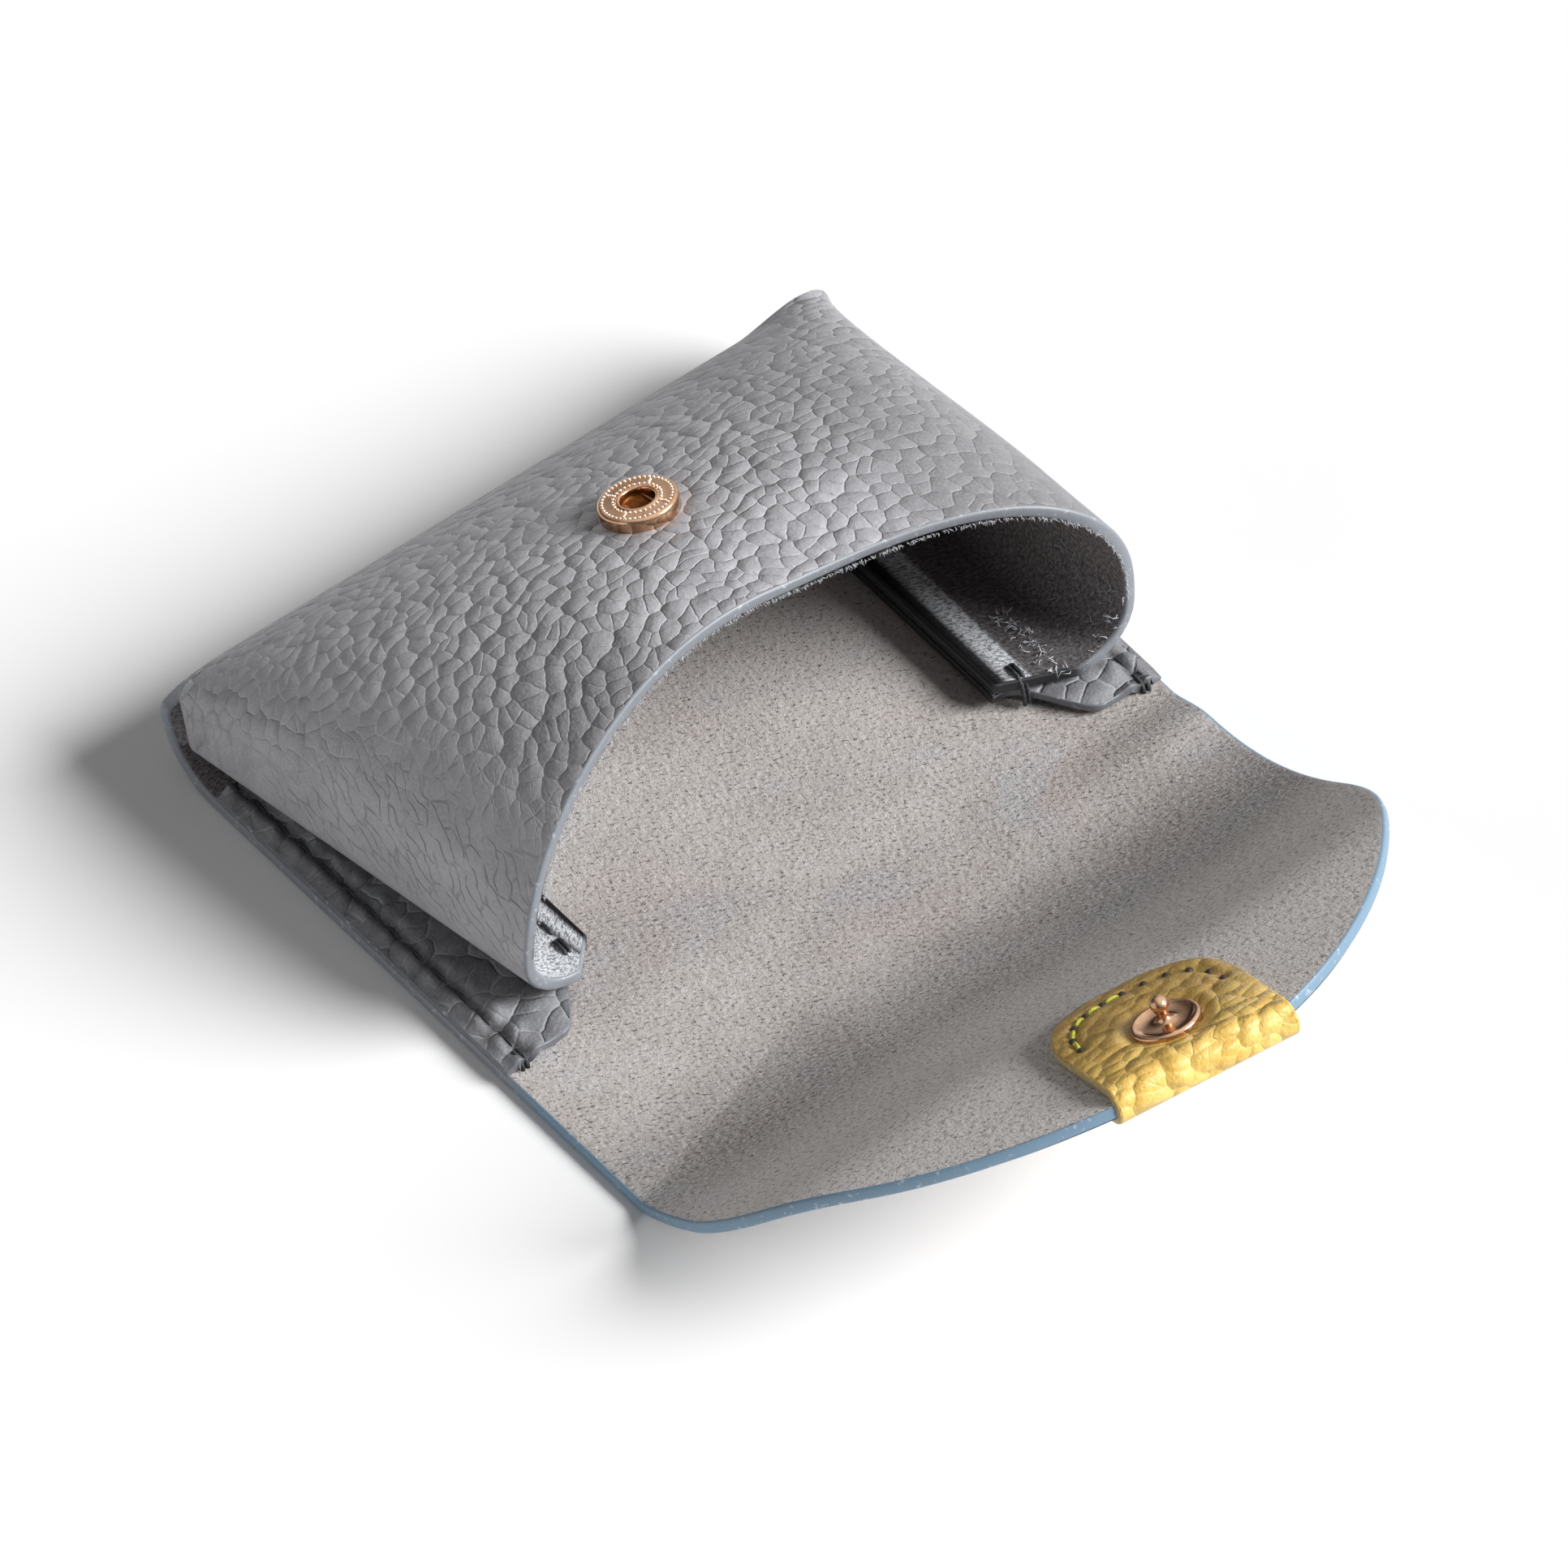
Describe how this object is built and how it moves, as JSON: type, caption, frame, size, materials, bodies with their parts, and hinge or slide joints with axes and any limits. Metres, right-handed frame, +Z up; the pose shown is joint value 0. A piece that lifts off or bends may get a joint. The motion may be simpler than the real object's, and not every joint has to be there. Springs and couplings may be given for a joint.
{
  "type": "card wallet",
  "caption": "Open leather card wallet lying on its back, with side gusset strips, a rounded fold-over flap and a sewn tab that carries a snap fastener.",
  "frame": {"origin": "on the underside of the back panel, midway across, at the mouth ends of the gusset strips", "axes": "+X to the right seen from the mouth, +Y from the mouth to the bottom fold with the flap towards -Y, +Z up from the surface it lies on"},
  "size_m": [0.1082, 0.1518, 0.0411],
  "materials": {
    "grey_leather": "pebbled, soft sheen",
    "gusset_leather": "grained, soft sheen",
    "suede": "napped flesh side, matt",
    "yellow_leather": "pebbled, soft sheen",
    "dark_thread": "waxed thread",
    "olive_thread": "waxed thread",
    "rose_gold": "polished, plated"
  },
  "bodies": {
    "body": {"back_panel": "grey_leather", "front_panel": "grey_leather", "left_gusset": "gusset_leather", "right_gusset": "gusset_leather", "left_outer_seam": "dark_thread", "right_outer_seam": "dark_thread", "left_inner_seam": "dark_thread", "right_inner_seam": "dark_thread", "snap_socket": "rose_gold", "left_spring": "rose_gold", "right_spring": "rose_gold", "socket_rivet": "rose_gold"},
    "flap": {"flap_panel": "suede"},
    "flap_end": {"flap_tip": "suede", "flap_tab": "yellow_leather", "tab_inner_seam": "olive_thread", "tab_outer_seam": "olive_thread", "snap_stud": "rose_gold", "stud_rivet": "rose_gold"}
  },
  "joints": [
    {"name": "flap_lift", "type": "hinge", "parent": "body", "child": "flap", "pos_m": [0, -0.002, 0.0018], "axis": [-1, 0, 0], "range_deg": [0, 90]},
    {"name": "flap_bend", "type": "hinge", "parent": "flap", "child": "flap_end", "pos_m": [0, -0.0468, 0.01938], "axis": [-1, 0, 0], "range_deg": [0, 66]}
  ]
}
